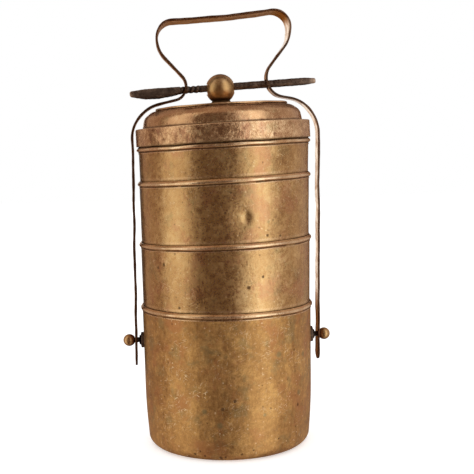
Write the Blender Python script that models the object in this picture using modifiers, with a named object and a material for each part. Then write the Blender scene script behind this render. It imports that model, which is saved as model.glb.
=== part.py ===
"""Brass tiffin carrier: four stacked food vessels, a lid and a swinging strap handle.

The handle's arms turn on two pivots on the bottom can.  Its loop passes over the lid, and an
iron locking bar runs through both necks of the loop and through the lid's knob, so nothing
can open until the bar is drawn out to the left.

Origin: centre of the bottom can's flat base.  +Z is up, the handle's arms are at -X and +X,
and +Y is the back.  Sizes are in metres.
"""

import math

import bmesh
import bpy
from mathutils import Matrix, Vector

MM = 0.001

# General
SHEET = 1.2 * MM                    # sheet brass of the vessels and the lid
GAP = 0.3 * MM                      # clearance between pieces that touch
FACETS = 36                         # sides of a full-size turned shell
FINE_FACETS = 24                    # sides of a small turned piece
PROFILE_ARC_STEP = math.radians(23)  # turn between the points of a profile's rounded corner
STRAP_ARC_STEP = math.radians(13)    # the same along the strap
MERGE_DISTANCE = 0.01 * MM

# Vessels: each wall widens a little from its low end to its rim
RIM_RADIUS = 65.0 * MM
LOW_RADIUS = 64.4 * MM
CAN_CORNER_RADIUS = 7.0 * MM
FOOT_DEPTH = 2.4 * MM               # how far a tier's foot reaches below its shoulder
FOOT_CLEARANCE = 0.6 * MM
FOOT_CORNER_RADIUS = 1.8 * MM
CAN_RIM_Z = 109.0 * MM
TIER_3_RIM_Z = 158.8 * MM
TIER_2_RIM_Z = 205.8 * MM
TIER_1_STOP_Z = 231.6 * MM          # top of the band that stops the lid
TIER_1_LIP_Z = TIER_1_STOP_Z + 5.0 * MM
BAND_HEIGHT = 3.0 * MM
BAND_PROUD = 1.4 * MM

# Lid
COLLAR_RADIUS = RIM_RADIUS + GAP + SHEET
COLLAR_BOTTOM_Z = TIER_1_STOP_Z + 0.4 * MM
LEDGE_Z = 245.1 * MM
LEDGE_EDGE_RADIUS = 1.0 * MM
DOME_RADIUS = 60.8 * MM
DOME_CORNER_RADIUS = 9.0 * MM
DOME_TOP_Z = 258.1 * MM
DOME_OPENING_RADIUS = 44.0 * MM
PLATE_RADIUS = 50.2 * MM
PLATE_BOTTOM_Z = DOME_TOP_Z + GAP
PLATE_TOP_Z = 259.9 * MM
PLATE_EDGE_RADIUS = 0.7 * MM

# Knob: a ball on a short neck, riveted through the top plate
KNOB_Z = 272.9 * MM                 # height of the ball's centre
KNOB_RADIUS = 10.4 * MM
KNOB_NECK_RADIUS = 6.6 * MM
KNOB_BASE_RADIUS = 8.4 * MM
KNOB_BASE_HEIGHT = 1.0 * MM
TANG_RADIUS = 2.5 * MM
TANG_HEAD_RADIUS = 4.0 * MM
TANG_HEAD_HEIGHT = 1.2 * MM
BURR_RADIUS = 7.0 * MM
BURR_THICKNESS = 0.9 * MM
BAR_Z = 273.4 * MM                  # height of the locking bar where it crosses the knob
BAR_TILT = math.radians(3.45)       # the leaf end hangs lower
SLOT_FRONT = 3.6 * MM               # slot's closed end, in front of the bar
SLOT_ABOVE = 3.4 * MM
SLOT_BELOW = 4.6 * MM               # extra room: the bar sinks as the handle swings back

# Handle: a flat strap bent in the XZ plane, as corners (x, z, bend radius)
PIVOT_Z = 80.8 * MM
STRAP_THICKNESS = 1.7 * MM
ARM_X = 70.9 * MM
ARM_BOTTOM_Z = 61.0 * MM
ARM_HALF_WIDTH = 6.5 * MM
GRIP_HALF_WIDTH = 12.5 * MM
WIDENING_START_Z = 283.0 * MM
WIDENING_END_Z = 313.0 * MM
LEFT_NECK_X = -27.0 * MM
RIGHT_NECK_X = 37.0 * MM
NECK_HOLE_HALF = 3.7 * MM
STRAP_CORNERS = (
    (-ARM_X, ARM_BOTTOM_Z, 0.0),
    (-69.0 * MM, 258.0 * MM, 26.0 * MM),
    (-17.6 * MM, 269.8 * MM, 10.5 * MM),
    (-46.1 * MM, 304.4 * MM, 21.0 * MM),
    (-45.5 * MM, 324.0 * MM, 12.0 * MM),
    (8.0 * MM, 325.5 * MM, 300.0 * MM),
    (56.8 * MM, 329.5 * MM, 13.2 * MM),
    (53.3 * MM, 304.9 * MM, 16.8 * MM),
    (24.6 * MM, 269.8 * MM, 14.3 * MM),
    (73.3 * MM, 256.8 * MM, 27.0 * MM),
    (ARM_X, ARM_BOTTOM_Z, 0.0),
)

# Locking bar: a leaf-shaped thumb piece, a twisted square stretch and a round shank
BAR_LEFT_X = -69.0 * MM
LEAF_END_X = -36.5 * MM
TWIST_START_X = -34.5 * MM
TWIST_END_X = -15.5 * MM
SHANK_START_X = -13.0 * MM
TIP_START_X = 62.0 * MM
BAR_RIGHT_X = 73.5 * MM
LEAF_TIP_HALF_HEIGHT = 2.3 * MM
LEAF_HALF_HEIGHT = 4.1 * MM
LEAF_ROOT_HALF_HEIGHT = 3.3 * MM
LEAF_TIP_HALF_DEPTH = 1.0 * MM
LEAF_HALF_DEPTH = 1.5 * MM
LEAF_SQUARENESS = 0.3
TWIST_HALF_SIDE = 2.6 * MM
TWIST_TURNS = 1.5
SHANK_START_RADIUS = 2.55 * MM
SHANK_END_RADIUS = 2.8 * MM
TIP_RADIUS = 1.9 * MM
BAR_RING = 12                       # points round one section of the bar

# Pivots, as distances out from the object's axis
BOSS_IN = 65.2 * MM
BOSS_OUT = 68.4 * MM
BOSS_BASE_RADIUS = 6.1 * MM
BOSS_TIP_RADIUS = 3.6 * MM
PIN_RADIUS = 2.0 * MM
PIN_HOLE_RADIUS = PIN_RADIUS + GAP
PIN_HEAD_RADIUS = 4.5 * MM
PIN_HEAD_IN = 61.9 * MM
PIN_HEAD_OUT = 63.0 * MM
PIN_END = 76.5 * MM
BALL_FACE = 72.05 * MM
BALL_CENTRE = 76.1 * MM
BALL_RADIUS = 4.7 * MM


# Scene and materials

def clear_scene():
    for obj in list(bpy.data.objects):
        bpy.data.objects.remove(obj, do_unlink=True)


def new_collection(name):
    collection = bpy.data.collections.new(name)
    bpy.context.scene.collection.children.link(collection)
    return collection


def new_material(name, colour, roughness, metallic=1.0):
    material = bpy.data.materials.new(name)
    material.use_nodes = True
    shader = material.node_tree.nodes["Principled BSDF"]
    shader.inputs["Base Color"].default_value = (*colour, 1.0)
    shader.inputs["Roughness"].default_value = roughness
    shader.inputs["Metallic"].default_value = metallic
    material.diffuse_color = (*colour, 1.0)
    return material


def vessel_brass(name):
    return new_material(name, (0.46, 0.29, 0.12), 0.38)


def band_brass(name):
    return new_material(name, (0.56, 0.37, 0.18), 0.32)


def lid_brass(name):
    return new_material(name, (0.43, 0.26, 0.11), 0.40)


def handle_brass(name):
    return new_material(name, (0.40, 0.23, 0.11), 0.42)


def bright_brass(name):
    return new_material(name, (0.62, 0.42, 0.20), 0.30)


def dark_iron(name):
    return new_material(name, (0.06, 0.05, 0.045), 0.50)


# Outlines

def corner_arc(before, corner, after, radius, arc_step):
    """Points of the arc that rounds one corner of a path."""
    if radius == 0.0:
        return [corner]
    incoming = (corner - before).normalized()
    outgoing = (after - corner).normalized()
    cross = incoming.x * outgoing.y - incoming.y * outgoing.x
    turn = math.atan2(cross, incoming.dot(outgoing))
    start = corner - incoming * radius * math.tan(abs(turn) / 2)
    to_centre = Vector((-incoming.y, incoming.x)) * math.copysign(radius, turn)
    steps = math.ceil(abs(turn) / arc_step)
    points = []
    for step in range(steps + 1):
        spoke = Matrix.Rotation(turn * step / steps, 2) @ -to_centre
        points.append(start + to_centre + spoke)
    return points


def rounded_path(corners, arc_step=PROFILE_ARC_STEP):
    """A path through (x, z, radius) corners, each rounded to its radius."""
    places = [Vector(corner[:2]) for corner in corners]
    points = [places[0]]
    for index in range(1, len(corners) - 1):
        before, corner, after = places[index - 1:index + 2]
        points += corner_arc(before, corner, after, corners[index][2], arc_step)
    points.append(places[-1])
    return points


def band_outline(path, thickness):
    """The closed outline of a band of even thickness that follows a path."""
    left_side = []
    right_side = []
    for index, point in enumerate(path):
        before = path[max(index - 1, 0)]
        after = path[min(index + 1, len(path) - 1)]
        along = (after - before).normalized()
        offset = Vector((-along.y, along.x)) * thickness / 2
        left_side.append(point + offset)
        right_side.append(point - offset)
    return left_side + right_side[::-1]


# Solids

def new_object(name, mesh, collection, material=None):
    obj = bpy.data.objects.new(name, mesh)
    collection.objects.link(obj)
    if material:
        mesh.materials.append(material)
    return obj


def turned(name, profile, collection, material, facets=FACETS, closed=False):
    """A solid turned about Z from a profile of (radius, z) points."""
    mesh = bpy.data.meshes.new(name)
    count = len(profile)
    edges = [(index, index + 1) for index in range(count - 1)]
    if closed:
        edges.append((count - 1, 0))
    mesh.from_pydata([(point[0], 0.0, point[1]) for point in profile], edges, [])
    obj = new_object(name, mesh, collection, material)
    screw = obj.modifiers.new("turn", "SCREW")
    screw.steps = facets
    screw.render_steps = facets
    screw.use_merge_vertices = True
    screw.merge_threshold = MERGE_DISTANCE
    screw.use_smooth_shade = True
    return obj


def flat_outline(name, outline, half_depth, collection):
    """A mesh slab of a closed 2D outline, in its own XY plane."""
    curve = bpy.data.curves.new(name + "_outline", "CURVE")
    curve.dimensions = "2D"
    curve.fill_mode = "BOTH"
    curve.extrude = half_depth
    spline = curve.splines.new("POLY")
    spline.points.add(len(outline) - 1)
    for spline_point, point in zip(spline.points, outline):
        spline_point.co = (point[0], point[1], 0.0, 1.0)
    spline.use_cyclic_u = True
    guide = bpy.data.objects.new(name + "_outline", curve)
    collection.objects.link(guide)
    evaluated = guide.evaluated_get(bpy.context.evaluated_depsgraph_get())
    mesh = bpy.data.meshes.new_from_object(evaluated)
    solid = bmesh.new()
    solid.from_mesh(mesh)
    bmesh.ops.remove_doubles(solid, verts=solid.verts, dist=MERGE_DISTANCE)
    bmesh.ops.recalc_face_normals(solid, faces=solid.faces)
    solid.to_mesh(mesh)
    solid.free()
    obj = new_object(name, mesh, collection)
    obj.matrix_world = guide.matrix_world
    bpy.data.objects.remove(guide)
    return obj


def box_cutter(name, low, high, collection):
    mesh = bpy.data.meshes.new(name)
    solid = bmesh.new()
    bmesh.ops.create_cube(solid, size=1.0)
    size = Vector(high) - Vector(low)
    bmesh.ops.scale(solid, vec=size, verts=solid.verts)
    solid.to_mesh(mesh)
    solid.free()
    obj = new_object(name, mesh, collection)
    obj.location = (Vector(high) + Vector(low)) / 2
    return hidden_cutter(obj)


def rod_cutter(name, radius, half_length, z, collection):
    """A rod along X through the object's axis."""
    mesh = bpy.data.meshes.new(name)
    solid = bmesh.new()
    bmesh.ops.create_cone(solid, cap_ends=True, segments=FINE_FACETS, radius1=radius,
                          radius2=radius, depth=2 * half_length)
    solid.to_mesh(mesh)
    solid.free()
    obj = new_object(name, mesh, collection)
    obj.location = (0.0, 0.0, z)
    obj.rotation_euler = (0.0, math.radians(90), 0.0)
    return hidden_cutter(obj)


def hidden_cutter(obj):
    obj.hide_render = True
    obj.display_type = "WIRE"
    return obj


def cut(obj, cutter, operation="DIFFERENCE"):
    boolean = obj.modifiers.new(cutter.name, "BOOLEAN")
    boolean.operation = operation
    boolean.solver = "EXACT"
    boolean.object = cutter


def face_outwards(obj, side):
    """Turn a piece made about +Z so that its +Z points to the left (-1) or the right (1)."""
    obj.rotation_euler = (0.0, math.radians(90) * side, 0.0)
    obj.location = (0.0, 0.0, PIVOT_Z)


# Vessels

def make_can(parts, cutters):
    profile = rounded_path((
        (0.0, SHEET, 0.0),
        (LOW_RADIUS - SHEET, SHEET, CAN_CORNER_RADIUS - SHEET),
        (RIM_RADIUS - SHEET, CAN_RIM_Z, 0.0),
        (RIM_RADIUS, CAN_RIM_Z, 0.0),
        (LOW_RADIUS, 0.0, CAN_CORNER_RADIUS),
        (0.0, 0.0, 0.0),
    ))
    can = turned("bottom_can", profile, parts, vessel_brass("bottom_can"))
    cut(can, rod_cutter("can_pin_holes", PIN_HOLE_RADIUS, 2 * RIM_RADIUS, PIVOT_Z, cutters))
    return can


def tier_profile(lower_rim_z, lip_z):
    """A tier that stands on the rim at lower_rim_z, with its foot inside that rim."""
    foot_radius = RIM_RADIUS - SHEET - FOOT_CLEARANCE
    shoulder_z = lower_rim_z + GAP
    foot_z = shoulder_z - FOOT_DEPTH
    inner_step_z = shoulder_z + SHEET / 3
    return rounded_path((
        (0.0, foot_z + SHEET, 0.0),
        (foot_radius - SHEET, foot_z + SHEET, FOOT_CORNER_RADIUS - SHEET),
        (foot_radius - SHEET, inner_step_z, 0.0),
        (LOW_RADIUS - SHEET, inner_step_z + SHEET, 0.0),
        (RIM_RADIUS - SHEET, lip_z, 0.0),
        (RIM_RADIUS, lip_z, 0.0),
        (LOW_RADIUS, shoulder_z, 0.0),
        (foot_radius, shoulder_z, 0.0),
        (foot_radius, foot_z, FOOT_CORNER_RADIUS),
        (0.0, foot_z, 0.0),
    ))


def make_tier(name, lower_rim_z, lip_z, parts):
    return turned(name, tier_profile(lower_rim_z, lip_z), parts, vessel_brass(name))


def make_band(name, top_z, parts):
    """A half-round band soldered round a vessel's wall."""
    inner = RIM_RADIUS + GAP
    depth = BAND_PROUD - GAP
    steps = 5
    profile = []
    for step in range(steps + 1):
        angle = math.pi * step / steps
        radius = inner + depth * math.sin(angle)
        profile.append((radius, top_z - BAND_HEIGHT / 2 * (1 - math.cos(angle))))
    return turned(name, profile, parts, band_brass(name), closed=True)


# Lid

def make_lid_shell(parts):
    inner_collar = COLLAR_RADIUS - SHEET
    inner_dome = DOME_RADIUS - SHEET
    profile = rounded_path((
        (DOME_OPENING_RADIUS, DOME_TOP_Z, 0.0),
        (DOME_RADIUS, DOME_TOP_Z, DOME_CORNER_RADIUS),
        (DOME_RADIUS, LEDGE_Z, 0.0),
        (COLLAR_RADIUS, LEDGE_Z, LEDGE_EDGE_RADIUS),
        (COLLAR_RADIUS, COLLAR_BOTTOM_Z, 0.0),
        (inner_collar, COLLAR_BOTTOM_Z, 0.0),
        (inner_collar, LEDGE_Z - SHEET, 0.0),
        (inner_dome, LEDGE_Z - SHEET, 0.0),
        (inner_dome, DOME_TOP_Z - SHEET, DOME_CORNER_RADIUS - SHEET),
        (DOME_OPENING_RADIUS, DOME_TOP_Z - SHEET, 0.0),
    ))
    return turned("lid_shell", profile, parts, lid_brass("lid_shell"), closed=True)


def make_lid_plate(parts):
    hole = TANG_RADIUS + GAP
    profile = rounded_path((
        (hole, PLATE_TOP_Z, 0.0),
        (PLATE_RADIUS, PLATE_TOP_Z, PLATE_EDGE_RADIUS),
        (PLATE_RADIUS, PLATE_BOTTOM_Z, 0.0),
        (hole, PLATE_BOTTOM_Z, 0.0),
    ))
    return turned("lid_top_plate", profile, parts, lid_brass("lid_top_plate"), closed=True)


def knob_profile():
    """Ball, neck and riveted tang, from the crown down."""
    neck_angle = math.pi - math.asin(KNOB_NECK_RADIUS / KNOB_RADIUS)
    steps = 10
    profile = []
    for step in range(steps + 1):
        angle = neck_angle * step / steps
        profile.append((KNOB_RADIUS * math.sin(angle), KNOB_Z + KNOB_RADIUS * math.cos(angle)))
    base_z = PLATE_TOP_Z + GAP
    head_top_z = PLATE_BOTTOM_Z - GAP - BURR_THICKNESS - GAP
    profile += [
        (KNOB_NECK_RADIUS, base_z + 2 * KNOB_BASE_HEIGHT),
        (KNOB_BASE_RADIUS, base_z + KNOB_BASE_HEIGHT),
        (KNOB_BASE_RADIUS, base_z),
        (TANG_RADIUS, base_z),
        (TANG_RADIUS, head_top_z),
        (TANG_HEAD_RADIUS, head_top_z),
        (TANG_HEAD_RADIUS, head_top_z - TANG_HEAD_HEIGHT),
        (0.0, head_top_z - TANG_HEAD_HEIGHT),
    ]
    return profile


def make_knob(parts, cutters):
    knob = turned("knob", knob_profile(), parts, bright_brass("knob"), FINE_FACETS)
    reach = 2 * KNOB_RADIUS
    low = (-reach, -SLOT_FRONT, BAR_Z - SLOT_BELOW)
    high = (reach, reach, BAR_Z + SLOT_ABOVE)
    slot = box_cutter("knob_slot", low, high, cutters)
    slot.rotation_euler = (0.0, -BAR_TILT, 0.0)
    cut(knob, slot)
    return knob


def make_knob_burr(parts):
    top_z = PLATE_BOTTOM_Z - GAP
    hole = TANG_RADIUS + GAP
    profile = (
        (hole, top_z),
        (BURR_RADIUS, top_z),
        (BURR_RADIUS, top_z - BURR_THICKNESS),
        (hole, top_z - BURR_THICKNESS),
    )
    return turned("knob_burr", profile, parts, bright_brass("knob_burr"), FINE_FACETS, closed=True)


# Handle

def strap_width_outline():
    """The strap's width seen along X: rounded arm ends, and a wider grip."""
    highest = max(corner[1] for corner in STRAP_CORNERS)
    half = [Vector((GRIP_HALF_WIDTH, highest + STRAP_THICKNESS))]
    steps = 6
    for step in range(steps + 1):
        share = step / steps
        blend = (1 + math.cos(math.pi * share)) / 2
        width = ARM_HALF_WIDTH + (GRIP_HALF_WIDTH - ARM_HALF_WIDTH) * blend
        half.append(Vector((width, WIDENING_END_Z + (WIDENING_START_Z - WIDENING_END_Z) * share)))
    round_z = ARM_BOTTOM_Z + ARM_HALF_WIDTH
    for step in range(steps + 1):
        angle = math.pi / 2 * step / steps
        round_end = Vector((math.cos(angle), -math.sin(angle))) * ARM_HALF_WIDTH
        half.append(round_end + Vector((0.0, round_z)))
    mirrored = [Vector((-point.x, point.y)) for point in half[-2::-1]]
    return half + mirrored


def make_strap(parts, cutters):
    path = rounded_path(STRAP_CORNERS, STRAP_ARC_STEP)
    outline = band_outline(path, STRAP_THICKNESS)
    strap = flat_outline("handle_strap", outline, 2 * GRIP_HALF_WIDTH, parts)
    strap.data.materials.append(handle_brass("handle_strap"))
    stand_up = Matrix.Rotation(math.radians(90), 4, "X")
    strap.data.transform(Matrix.Translation((0.0, 0.0, -PIVOT_Z)) @ stand_up)

    width = flat_outline("strap_width", strap_width_outline(), 2 * ARM_X, cutters)
    turn_to_side = Matrix.Rotation(math.radians(90), 4, "Z") @ stand_up
    width.data.transform(turn_to_side)
    cut(strap, hidden_cutter(width), "INTERSECT")

    for name, neck_x in (("left_neck_hole", LEFT_NECK_X), ("right_neck_hole", RIGHT_NECK_X)):
        reach = 2 * NECK_HOLE_HALF
        hole_z = BAR_Z + neck_x * math.tan(BAR_TILT)
        low = (neck_x - reach, -NECK_HOLE_HALF, hole_z - NECK_HOLE_HALF)
        high = (neck_x + reach, NECK_HOLE_HALF, hole_z + NECK_HOLE_HALF)
        cut(strap, box_cutter(name, low, high, cutters))
    cut(strap, rod_cutter("arm_pin_holes", PIN_HOLE_RADIUS, 2 * ARM_X, PIVOT_Z, cutters))
    return strap


# Locking bar

def blend(start, end, share):
    smooth = share * share * (3 - 2 * share)
    return start + (end - start) * smooth


def bar_section(x):
    """Half height, half depth, squareness (0 round, 1 square) and turn of the bar at x."""
    if x <= LEAF_END_X:
        share = (x - BAR_LEFT_X) / (LEAF_END_X - BAR_LEFT_X)
        swell = math.sin(math.pi * share ** 0.85)
        end = LEAF_TIP_HALF_HEIGHT + (LEAF_ROOT_HALF_HEIGHT - LEAF_TIP_HALF_HEIGHT) * share
        height = end + (LEAF_HALF_HEIGHT - end) * swell
        return height, blend(LEAF_TIP_HALF_DEPTH, LEAF_HALF_DEPTH, share), LEAF_SQUARENESS, 0.0
    if x <= TWIST_START_X:
        share = (x - LEAF_END_X) / (TWIST_START_X - LEAF_END_X)
        height = blend(LEAF_ROOT_HALF_HEIGHT, TWIST_HALF_SIDE, share)
        depth = blend(LEAF_HALF_DEPTH, TWIST_HALF_SIDE, share)
        return height, depth, blend(LEAF_SQUARENESS, 1.0, share), 0.0
    if x <= TWIST_END_X:
        share = (x - TWIST_START_X) / (TWIST_END_X - TWIST_START_X)
        return TWIST_HALF_SIDE, TWIST_HALF_SIDE, 1.0, 2 * math.pi * TWIST_TURNS * share
    turned_by = 2 * math.pi * TWIST_TURNS
    if x <= SHANK_START_X:
        share = (x - TWIST_END_X) / (SHANK_START_X - TWIST_END_X)
        radius = blend(TWIST_HALF_SIDE, SHANK_START_RADIUS, share)
        return radius, radius, 1.0 - share, turned_by
    if x <= TIP_START_X:
        share = (x - SHANK_START_X) / (TIP_START_X - SHANK_START_X)
        radius = blend(SHANK_START_RADIUS, SHANK_END_RADIUS, share)
        return radius, radius, 0.0, turned_by
    share = (x - TIP_START_X) / (BAR_RIGHT_X - TIP_START_X)
    radius = blend(SHANK_END_RADIUS, TIP_RADIUS, share)
    return radius, radius, 0.0, turned_by


def bar_stations():
    """Places along the bar: close together where its section changes fast."""
    stretches = (
        (BAR_LEFT_X, LEAF_END_X, 9),
        (LEAF_END_X, TWIST_START_X, 1),
        (TWIST_START_X, TWIST_END_X, 18),
        (TWIST_END_X, SHANK_START_X, 2),
        (SHANK_START_X, TIP_START_X, 3),
        (TIP_START_X, BAR_RIGHT_X, 3),
    )
    stations = [BAR_LEFT_X]
    for start, end, steps in stretches:
        stations += [start + (end - start) * step / steps for step in range(1, steps + 1)]
    return stations


def bar_ring(x):
    """Points round the bar at x, on an outline between an ellipse and a rounded square."""
    height, depth, squareness, turn = bar_section(x)
    power = 1.0 - 0.45 * squareness
    turn_matrix = Matrix.Rotation(turn, 2)
    ring = []
    for index in range(BAR_RING):
        angle = 2 * math.pi * index / BAR_RING
        across = math.copysign(abs(math.cos(angle)) ** power, math.cos(angle)) * depth
        upright = math.copysign(abs(math.sin(angle)) ** power, math.sin(angle)) * height
        point = turn_matrix @ Vector((across, upright))
        ring.append((x, point.x, point.y))
    return ring


def make_bar(parts):
    solid = bmesh.new()
    rings = [[solid.verts.new(co) for co in bar_ring(x)] for x in bar_stations()]
    for ring, following in zip(rings, rings[1:]):
        for index in range(BAR_RING):
            after = (index + 1) % BAR_RING
            solid.faces.new((ring[index], ring[after], following[after], following[index]))
    solid.faces.new(rings[0][::-1])
    solid.faces.new(rings[-1])
    bmesh.ops.recalc_face_normals(solid, faces=solid.faces)
    mesh = bpy.data.meshes.new("locking_bar")
    solid.to_mesh(mesh)
    solid.free()
    mesh.shade_smooth()
    mesh.set_sharp_from_angle(angle=math.radians(40))
    return new_object("locking_bar", mesh, parts, dark_iron("locking_bar"))


# Pivots

def make_boss(name, side, parts):
    profile = (
        (BOSS_TIP_RADIUS, BOSS_OUT),
        (BOSS_BASE_RADIUS, BOSS_IN + SHEET),
        (BOSS_BASE_RADIUS, BOSS_IN),
        (PIN_HOLE_RADIUS, BOSS_IN),
        (PIN_HOLE_RADIUS, BOSS_OUT),
    )
    boss = turned(name, profile, parts, dark_iron(name), FINE_FACETS, closed=True)
    face_outwards(boss, side)
    return boss


def make_pin(name, side, parts):
    profile = (
        (0.0, PIN_END),
        (PIN_RADIUS, PIN_END),
        (PIN_RADIUS, PIN_HEAD_OUT),
        (PIN_HEAD_RADIUS, PIN_HEAD_OUT),
        (PIN_HEAD_RADIUS, PIN_HEAD_IN),
        (0.0, PIN_HEAD_IN),
    )
    pin = turned(name, profile, parts, dark_iron(name), FINE_FACETS)
    face_outwards(pin, side)
    return pin


def make_ball(name, side, parts):
    """The ball end that keeps an arm on its pin, flat where it meets the arm."""
    face_angle = math.acos((BALL_FACE - BALL_CENTRE) / BALL_RADIUS)
    steps = 8
    profile = []
    for step in range(steps + 1):
        angle = face_angle * step / steps
        profile.append((BALL_RADIUS * math.sin(angle), BALL_CENTRE + BALL_RADIUS * math.cos(angle)))
    profile += [
        (PIN_HOLE_RADIUS, BALL_FACE),
        (PIN_HOLE_RADIUS, PIN_END + GAP),
        (0.0, PIN_END + GAP),
    ]
    ball = turned(name, profile, parts, bright_brass(name), FINE_FACETS)
    face_outwards(ball, side)
    return ball


def make_handle(parts, cutters):
    """Strap and bar, parented to an empty on the pivots' axis."""
    pivot = bpy.data.objects.new("handle_pivot", None)
    pivot.location = (0.0, 0.0, PIVOT_Z)
    parts.objects.link(pivot)
    strap = make_strap(parts, cutters)
    strap.parent = pivot
    bar = make_bar(parts)
    bar.location = (0.0, 0.0, BAR_Z - PIVOT_Z)
    bar.rotation_euler = (0.0, -BAR_TILT, 0.0)
    bar.parent = pivot


def main():
    clear_scene()
    parts = new_collection("tiffin_carrier")
    cutters = new_collection("cutters")

    make_can(parts, cutters)
    make_tier("tier_3", CAN_RIM_Z, TIER_3_RIM_Z, parts)
    make_tier("tier_2", TIER_3_RIM_Z, TIER_2_RIM_Z, parts)
    make_tier("tier_1", TIER_2_RIM_Z, TIER_1_LIP_Z, parts)
    make_band("can_rim_band", CAN_RIM_Z, parts)
    make_band("tier_3_rim_band", TIER_3_RIM_Z, parts)
    make_band("tier_2_rim_band", TIER_2_RIM_Z, parts)
    make_band("tier_1_stop_band", TIER_1_STOP_Z, parts)

    make_lid_shell(parts)
    make_lid_plate(parts)
    make_knob(parts, cutters)
    make_knob_burr(parts)

    make_handle(parts, cutters)
    for side_name, side in (("left", -1), ("right", 1)):
        make_boss("pivot_boss_" + side_name, side, parts)
        make_pin("pivot_pin_" + side_name, side, parts)
        make_ball("pivot_ball_" + side_name, side, parts)


main()
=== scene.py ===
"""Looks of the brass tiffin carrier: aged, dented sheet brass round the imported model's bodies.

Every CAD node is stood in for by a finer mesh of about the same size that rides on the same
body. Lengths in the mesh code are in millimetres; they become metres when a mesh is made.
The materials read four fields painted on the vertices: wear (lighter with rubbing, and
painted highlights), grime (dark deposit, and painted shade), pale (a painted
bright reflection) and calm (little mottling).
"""

import math

import bmesh
import bpy
import numpy as np
from mathutils import Matrix, Vector


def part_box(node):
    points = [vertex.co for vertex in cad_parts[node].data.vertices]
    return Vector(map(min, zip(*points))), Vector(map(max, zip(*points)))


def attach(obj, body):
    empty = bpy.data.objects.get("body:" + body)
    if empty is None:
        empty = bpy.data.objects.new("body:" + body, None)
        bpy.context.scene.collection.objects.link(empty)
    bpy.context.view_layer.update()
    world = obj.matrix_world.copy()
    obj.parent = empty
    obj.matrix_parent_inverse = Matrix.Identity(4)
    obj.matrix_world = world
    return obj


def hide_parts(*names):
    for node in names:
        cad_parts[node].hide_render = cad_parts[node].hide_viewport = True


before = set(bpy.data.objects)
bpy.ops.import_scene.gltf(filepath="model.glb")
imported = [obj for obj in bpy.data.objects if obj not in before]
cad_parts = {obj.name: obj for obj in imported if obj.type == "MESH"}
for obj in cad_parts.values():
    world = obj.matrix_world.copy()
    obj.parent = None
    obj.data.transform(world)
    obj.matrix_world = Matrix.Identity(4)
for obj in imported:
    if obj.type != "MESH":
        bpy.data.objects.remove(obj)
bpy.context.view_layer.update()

MM = 0.001
TAU = 2 * math.pi
SEGMENTS = 288  # sides of a full-size turned shell
SMALL_SEGMENTS = 72  # sides of a small turned piece
ARC_STEP = 2.5  # longest step round a rounded corner
ON_AXIS = 1e-6  # a smaller radius than this is none
WHITE = (1.0, 1.0, 1.0, 1.0)

SHEET = 1.2  # thickness of the vessels and the lid
BAND_TALL = 3.7  # half-round part of a rim band
GROOVE_TALL = 0.6  # groove under it, painted dark as shade
FOOT_DEPTH = 2.4  # how far a tier sits in the rim below
CAN_CORNER = 8.0  # rounding of the can's bottom edge
CAN_TUCK = 2.6  # the can's wall draws in towards its bottom
CAN_TUCK_Z = 32.0  # below this height
TILT = 0.042  # slope of the upper rims, lower on the left
TILT_START_Z = 92.0
TILT_FULL_Z = 200.0
LEAN = 0.040  # slope at which the lid and the grip lean to the left
LEAN_START_Z = 225.0
LEAN_EASE = 8.0  # length over which the lean sets in


# Sizes from the CAD nodes

def corners_mm(node):
    low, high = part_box(node)
    return Vector(low) / MM, Vector(high) / MM


def vertices_mm(obj):
    return np.array([vertex.co for vertex in obj.data.vertices]) / MM


CAN_HIGH = corners_mm("bottom_can")[1]
BAND_LOW = corners_mm("can_rim_band")[0]
LID_LOW, LID_HIGH = corners_mm("lid_shell")
PLATE_LOW, PLATE_HIGH = corners_mm("lid_top_plate")
KNOB_LOW, KNOB_HIGH = corners_mm("knob")
STRAP_LOW = corners_mm("handle_strap")[0]
BAR_LOW, BAR_HIGH = corners_mm("locking_bar")
BALL_LOW, BALL_HIGH = corners_mm("pivot_ball_right")
BOSS_HIGH = corners_mm("pivot_boss_right")[1]
PIN_LOW, PIN_HIGH = corners_mm("pivot_pin_right")
BURR_LOW, BURR_HIGH = corners_mm("knob_burr")

RIM_RADIUS = CAN_HIGH.x
LOW_RADIUS = RIM_RADIUS - 0.6  # the walls widen a little towards their rims
KNOB_GROWTH = 0.9  # the ball is fuller than the CAD's
KNOB_DROP = 0.6  # and its centre is lower
KNOB_Z = KNOB_HIGH.z + KNOB_LOW.y - KNOB_DROP
KNOB_RADIUS = KNOB_GROWTH - KNOB_LOW.y
PIVOT_Z = (BALL_LOW.z + BALL_HIGH.z) / 2
ARM_X = 70.9  # middle of the strap's arms


def shank_line():
    """Slope of the bar's round shank, and its height where it crosses the knob."""
    co = vertices_mm(bpy.data.objects["locking_bar"])
    shank = co[co[:, 0] > 0.0]
    slope, height = np.polyfit(shank[:, 0], shank[:, 2], 1)
    return float(slope), float(height)


BAR_SLOPE, BAR_Z = shank_line()


# Outlines

def smooth(low, high, value):
    """0 at low, 1 at high, eased at both ends; low may be the larger."""
    share = np.clip((value - low) / (high - low), 0.0, 1.0)
    return share * share * (3 - 2 * share)


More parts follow.
